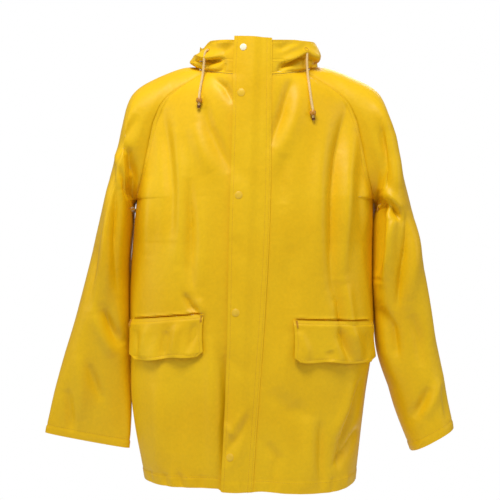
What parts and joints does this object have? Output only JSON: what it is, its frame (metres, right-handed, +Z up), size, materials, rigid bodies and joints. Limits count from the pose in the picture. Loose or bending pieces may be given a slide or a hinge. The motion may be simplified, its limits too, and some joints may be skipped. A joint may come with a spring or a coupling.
{
  "type": "hooded rain jacket",
  "caption": "Hooded rain jacket in smooth coated cloth with raglan sleeves, a snap-closed storm flap, flapped hip pockets and a drawcord hood folded down on the back.",
  "frame": {"origin": "the middle of the hanger loop inside the back of the neck, where a hook bears", "axes": "+Z up, the front faces -Y, the wearer's left is +X"},
  "size_m": [0.8159, 0.3353, 0.8798],
  "materials": {
    "coated_cloth": "smooth matt polyurethane coating on a knit, soft sheen",
    "lining_knit": "off-white knit backing and tape",
    "snap_plastic": "moulded acetal, dyed to match the cloth, satin",
    "drawcord": "braided polyester cord, cream",
    "bead_plastic": "moulded amber-brown plastic, satin",
    "tack_thread": "dense bar-tack stitching in thread"
  },
  "bodies": {
    "coat": {"back": "coated_cloth", "cord_bead_left": "bead_plastic", "cord_bead_right": "bead_plastic", "drawcord_end_left": "drawcord", "drawcord_end_right": "drawcord", "drawcord_run_left": "drawcord", "drawcord_run_right": "drawcord", "front_facing_left": "coated_cloth", "front_facing_right": "coated_cloth", "front_left": "coated_cloth", "front_right": "coated_cloth", "hanger_loop": "lining_knit", "hood_casing_left": "lining_knit", "hood_casing_right": "lining_knit", "hood_front_left": "coated_cloth", "hood_front_right": "coated_cloth", "neck_tape": "lining_knit", "pocket_bag_left": "lining_knit", "pocket_bag_right": "lining_knit", "sleeve_top_left": "coated_cloth", "sleeve_top_right": "coated_cloth", "snap_rivet_1": "snap_plastic", "snap_rivet_2": "snap_plastic", "snap_rivet_3": "snap_plastic", "snap_rivet_4": "snap_plastic", "snap_rivet_5": "snap_plastic", "snap_stud_1": "snap_plastic", "snap_stud_2": "snap_plastic", "snap_stud_3": "snap_plastic", "snap_stud_4": "snap_plastic", "snap_stud_5": "snap_plastic", "storm_flap_stand": "coated_cloth"},
    "storm_flap": {"snap_cap_1": "snap_plastic", "snap_cap_2": "snap_plastic", "snap_cap_3": "snap_plastic", "snap_cap_4": "snap_plastic", "snap_cap_5": "snap_plastic", "snap_socket_1": "snap_plastic", "snap_socket_2": "snap_plastic", "snap_socket_3": "snap_plastic", "snap_socket_4": "snap_plastic", "snap_socket_5": "snap_plastic", "storm_flap": "coated_cloth", "storm_flap_facing": "coated_cloth"},
    "pocket_flap_left": {"pocket_flap_left": "coated_cloth", "pocket_flap_lining_left": "coated_cloth", "pocket_tack_left_inner": "tack_thread", "pocket_tack_left_outer": "tack_thread"},
    "pocket_flap_right": {"pocket_flap_lining_right": "coated_cloth", "pocket_flap_right": "coated_cloth", "pocket_tack_right_inner": "tack_thread", "pocket_tack_right_outer": "tack_thread"},
    "sleeve_left": {"sleeve_left": "coated_cloth"},
    "sleeve_right": {"sleeve_right": "coated_cloth"},
    "hood": {"hood_back_left": "coated_cloth", "hood_back_right": "coated_cloth"}
  },
  "joints": [
    {"name": "storm_flap_open", "type": "hinge", "parent": "coat", "child": "storm_flap", "pos_m": [-0.014, -0.2164, -0.82482], "axis": [0.0353, 0.0112, 0.9993], "range_deg": [0, 105]},
    {"name": "pocket_flap_left_lift", "type": "hinge", "parent": "coat", "child": "pocket_flap_left", "pos_m": [0.1545, -0.1946, -0.50622], "axis": [-0.856, -0.516, 0.032], "range_deg": [0, 110]},
    {"name": "pocket_flap_right_lift", "type": "hinge", "parent": "coat", "child": "pocket_flap_right", "pos_m": [-0.1748, -0.1917, -0.49882], "axis": [-0.8356, 0.5445, -0.0728], "range_deg": [0, 110]},
    {"name": "sleeve_left_raise", "type": "hinge", "parent": "coat", "child": "sleeve_left", "pos_m": [0.2985, -0.0686, -0.22532], "axis": [0, -1, 0], "range_deg": [0, 60]},
    {"name": "sleeve_right_raise", "type": "hinge", "parent": "coat", "child": "sleeve_right", "pos_m": [-0.2985, -0.0686, -0.22532], "axis": [0, 1, 0], "range_deg": [0, 60]},
    {"name": "hood_raise", "type": "hinge", "parent": "coat", "child": "hood", "pos_m": [0, 0.012, 0.01878], "axis": [1, 0, 0], "range_deg": [0, 78]}
  ]
}
